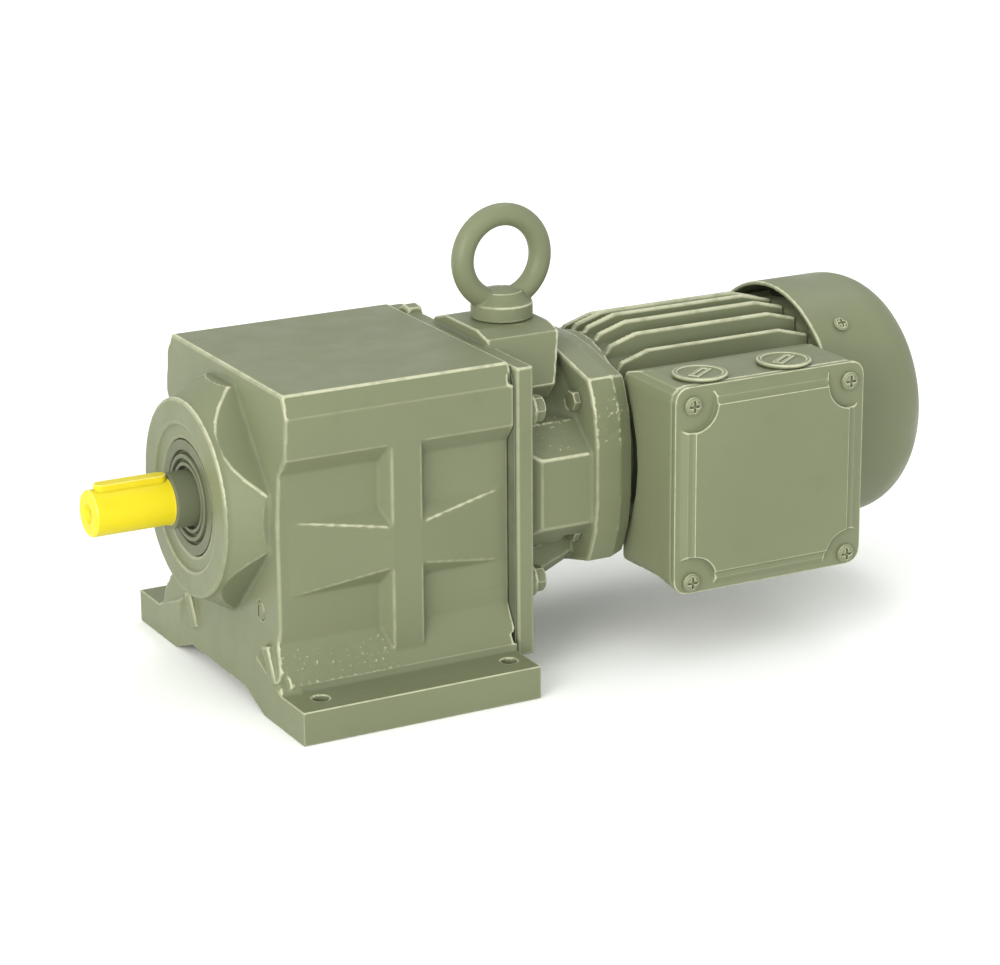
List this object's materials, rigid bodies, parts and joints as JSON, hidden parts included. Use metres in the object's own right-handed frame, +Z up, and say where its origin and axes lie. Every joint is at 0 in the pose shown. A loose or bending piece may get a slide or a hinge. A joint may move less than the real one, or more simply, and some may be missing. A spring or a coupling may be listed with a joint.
{
  "type": "industrial gearbox",
  "caption": "Foot-mounted helical gearbox with a keyed output shaft and a flanged electric motor with terminal box and fan cowl.",
  "frame": {"origin": "on the foot's underside, in the middle of the four foot holes, below the output shaft's axis", "axes": "+X along the output shaft's axis from the output shaft to the motor; +Z up, away from the foot; the terminal box is on the -Y side"},
  "size_m": [0.487, 0.222, 0.2416],
  "materials": {
    "paint": "gloss",
    "shaft_paint": "gloss",
    "steel": "satin",
    "lamination": "satin",
    "winding": "gloss",
    "seal": "matte",
    "gasket": "matte",
    "plastic": "matte"
  },
  "bodies": {
    "gear_unit": {"gear_housing": "paint", "level_plug": "paint", "housing_gasket": "gasket", "motor_adaptor": "paint", "flange_bolt_lower_near": "paint", "flange_bolt_lower_far": "paint", "flange_bolt_upper_near": "paint", "flange_bolt_upper_far": "paint", "motor_bolt_lower_near": "paint", "motor_bolt_lower_far": "paint", "motor_bolt_upper_near": "paint", "motor_bolt_upper_far": "paint", "eye_bolt": "paint", "output_seal": "seal", "motor_seal": "seal", "output_front_bearing_outer_ring": "steel", "output_rear_bearing_outer_ring": "steel", "intermediate_front_bearing_outer_ring": "steel", "intermediate_rear_bearing_outer_ring": "steel", "motor_front_bearing_outer_ring": "steel", "motor_rear_bearing_outer_ring": "steel", "motor_frame": "paint", "stator_core": "lamination", "winding_front": "winding", "winding_rear": "winding", "rear_end_shield": "paint", "wave_washer": "steel", "fan_cowl": "paint", "cowl_screw_upper_near": "paint", "cowl_screw_upper_far": "paint", "cowl_screw_lower_near": "paint", "cowl_screw_lower_far": "paint", "terminal_box_base": "paint", "box_gasket": "gasket", "terminal_box_cover": "paint", "cover_screw_lower_left": "paint", "cover_screw_lower_right": "paint", "cover_screw_upper_left": "paint", "cover_screw_upper_right": "paint", "blanking_plug_front": "paint", "blanking_plug_rear": "paint", "terminal_block": "plastic"},
    "output_shaft_assembly": {"output_shaft": "shaft_paint", "output_key": "shaft_paint", "wheel_key": "steel", "output_wheel": "steel", "output_front_bearing_inner_ring": "steel", "output_rear_bearing_inner_ring": "steel"},
    "intermediate_shaft_assembly": {"intermediate_shaft": "steel", "intermediate_wheel": "steel", "intermediate_front_bearing_inner_ring": "steel", "intermediate_rear_bearing_inner_ring": "steel"},
    "rotor": {"rotor_shaft": "steel", "motor_pinion": "steel", "rotor_core": "lamination", "cooling_fan": "plastic", "fan_clip": "steel", "motor_front_bearing_inner_ring": "steel", "motor_rear_bearing_inner_ring": "steel"}
  },
  "joints": [
    {"name": "rotor_spin", "type": "hinge", "parent": "gear_unit", "child": "rotor", "pos_m": [0, 0, 0.105], "axis": [1, 0, 0], "continuous": true},
    {"name": "intermediate_spin", "type": "hinge", "parent": "gear_unit", "child": "intermediate_shaft_assembly", "pos_m": [0, 0, 0.06], "axis": [1, 0, 0], "continuous": true},
    {"name": "output_spin", "type": "hinge", "parent": "gear_unit", "child": "output_shaft_assembly", "pos_m": [0, 0, 0.105], "axis": [1, 0, 0], "continuous": true}
  ],
  "couplings": [
    {"joint": "intermediate_spin", "follows": "rotor_spin", "ratio": -0.42857},
    {"joint": "output_spin", "follows": "rotor_spin", "ratio": 0.11854}
  ]
}
